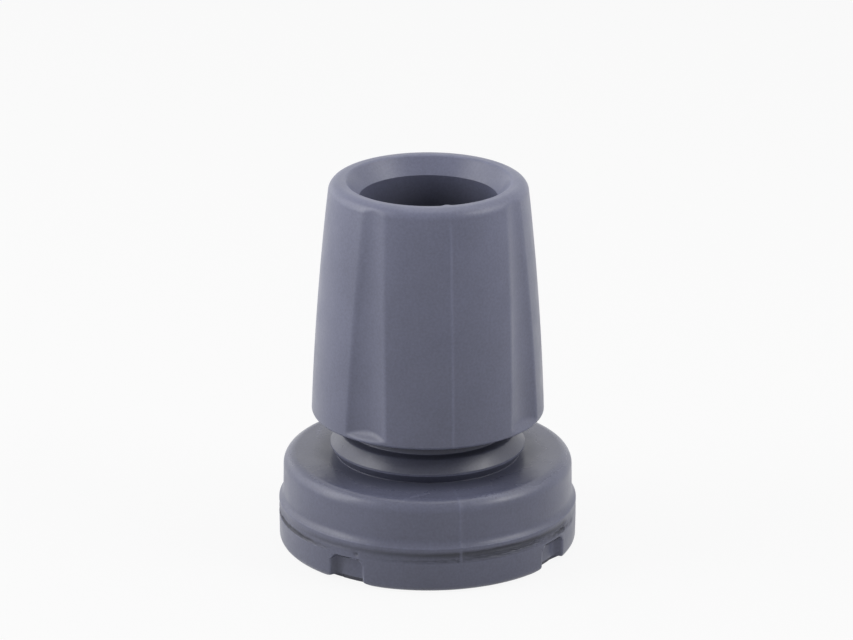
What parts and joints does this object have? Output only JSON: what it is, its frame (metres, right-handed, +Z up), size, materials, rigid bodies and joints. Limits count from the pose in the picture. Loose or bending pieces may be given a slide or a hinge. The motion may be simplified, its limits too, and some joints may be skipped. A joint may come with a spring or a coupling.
{
  "type": "rubber cane tip",
  "caption": "Moulded rubber cane tip: a fluted socket for the cane tube, a flexible waist and a broad round base with a notched tread.",
  "frame": {"origin": "centre of the tread's resting face", "axes": "+Z up along the socket's axis and out of its mouth; the mould's parting plane is X = 0, and the flutes and tread notches stand at 45 degrees to X and Y"},
  "size_m": [0.0414, 0.0414, 0.0525],
  "materials": {
    "rubber": "satin"
  },
  "bodies": {
    "root": {"ferrule": "rubber"}
  },
  "joints": []
}
